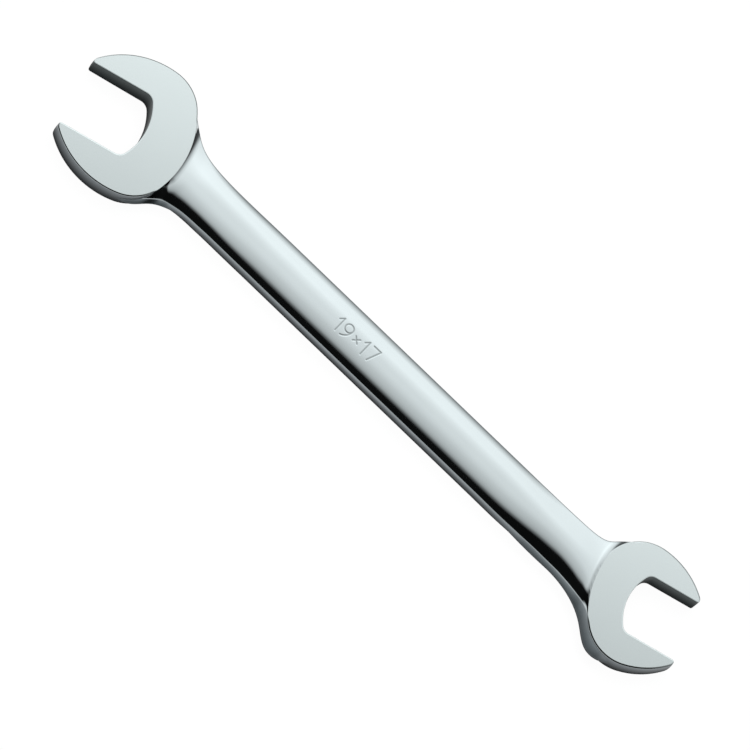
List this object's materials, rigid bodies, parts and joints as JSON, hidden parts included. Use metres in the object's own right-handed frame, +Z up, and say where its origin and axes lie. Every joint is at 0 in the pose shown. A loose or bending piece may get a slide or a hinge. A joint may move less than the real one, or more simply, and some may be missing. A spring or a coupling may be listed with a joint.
{
  "type": "open end wrench",
  "caption": "Flat chrome-plated wrench with an open jaw at each end, set at a slant to a crowned shank, for turning hexagon nuts and bolts.",
  "frame": {"origin": "middle of the wrench's length and width, on the plane that its underside rests on", "axes": "+X along the shank, from the large head to the small one; +Z up, out of the flat face; +Y across the shank"},
  "size_m": [0.2168, 0.0388, 0.0065],
  "materials": {
    "satin_chrome_large": "fine satin chrome plate",
    "polished_chrome": "bright polished chrome plate",
    "satin_chrome_small": "fine satin chrome plate"
  },
  "bodies": {
    "root": {"large_head": "satin_chrome_large", "shank": "polished_chrome", "small_head": "satin_chrome_small"}
  },
  "joints": []
}
